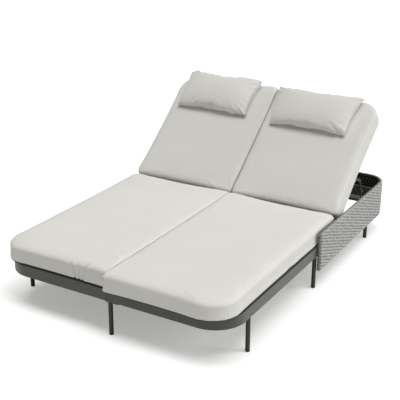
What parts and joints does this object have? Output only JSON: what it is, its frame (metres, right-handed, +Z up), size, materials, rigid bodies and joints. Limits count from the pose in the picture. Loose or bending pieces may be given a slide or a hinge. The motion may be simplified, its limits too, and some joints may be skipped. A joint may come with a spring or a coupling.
{
  "type": "double chaise lounger",
  "caption": "Outdoor double chaise lounger with a slim metal base, a woven rope band round its head corner, separate reclining backs on notched props, loose cushions and head pillows.",
  "frame": {"origin": "on the floor under the middle of the lounger's outline", "axes": "+X to the right seen from the foot end, +Y from the foot end towards the head end, +Z up"},
  "size_m": [1.442, 2.14, 0.9066],
  "materials": {
    "frame_coat": "matt dark grey powder coat",
    "steel": "satin",
    "glide": "matt",
    "rope": "woven rope, matt",
    "cushion_fabric": "matt woven",
    "pillow_fabric": "matt woven"
  },
  "bodies": {
    "base": {"band_bolts": "steel", "band_frame": "frame_coat", "centre_rail_left": "frame_coat", "centre_rail_right": "frame_coat", "frame_bolts": "steel", "front_rail_left": "frame_coat", "front_rail_right": "frame_coat", "hinge_beam_left": "frame_coat", "hinge_beam_right": "frame_coat", "hinge_brackets_left": "frame_coat", "hinge_brackets_right": "frame_coat", "hinge_pins_left": "steel", "hinge_pins_right": "steel", "joining_plates": "frame_coat", "leg_front_centre": "frame_coat", "leg_front_left": "frame_coat", "leg_front_right": "frame_coat", "leg_glides": "glide", "leg_middle_centre": "frame_coat", "leg_middle_left": "frame_coat", "leg_middle_right": "frame_coat", "leg_rear_centre": "frame_coat", "leg_rear_left": "frame_coat", "leg_rear_right": "frame_coat", "prop_racks_left": "frame_coat", "prop_racks_right": "frame_coat", "rack_beam_left": "frame_coat", "rack_beam_right": "frame_coat", "rear_rail_left": "frame_coat", "rear_rail_right": "frame_coat", "seat_beam_left": "frame_coat", "seat_beam_right": "frame_coat", "seat_cushion_left": "cushion_fabric", "seat_cushion_right": "cushion_fabric", "seat_slats_left": "frame_coat", "seat_slats_right": "frame_coat", "side_rail_left": "frame_coat", "side_rail_right": "frame_coat", "woven_band": "rope"},
    "back_left": {"back_cushion_left": "cushion_fabric", "back_frame_left": "frame_coat", "head_pillow_left": "pillow_fabric", "prop_pins_left": "steel"},
    "back_right": {"back_cushion_right": "cushion_fabric", "back_frame_right": "frame_coat", "head_pillow_right": "pillow_fabric", "prop_pins_right": "steel"},
    "prop_left": {"prop_bars_left": "frame_coat", "prop_rod_left": "steel"},
    "prop_right": {"prop_bars_right": "frame_coat", "prop_rod_right": "steel"}
  },
  "joints": [
    {"name": "back_recline_left", "type": "hinge", "parent": "base", "child": "back_left", "pos_m": [-0.355, 0.308, 0.252], "axis": [1, 0, 0], "range_deg": [-27, 11]},
    {"name": "prop_swing_left", "type": "hinge", "parent": "back_left", "child": "prop_left", "pos_m": [-0.355, 0.57534, 0.46849], "axis": [1, 0, 0], "range_deg": [-22, 54]},
    {"name": "back_recline_right", "type": "hinge", "parent": "base", "child": "back_right", "pos_m": [0.345, 0.308, 0.252], "axis": [1, 0, 0], "range_deg": [-27, 11]},
    {"name": "prop_swing_right", "type": "hinge", "parent": "back_right", "child": "prop_right", "pos_m": [0.345, 0.57534, 0.46849], "axis": [1, 0, 0], "range_deg": [-22, 54]}
  ],
  "couplings": [
    {"joint": "prop_swing_left", "follows": "back_recline_left", "ratio": -2},
    {"joint": "prop_swing_right", "follows": "back_recline_right", "ratio": -2}
  ]
}
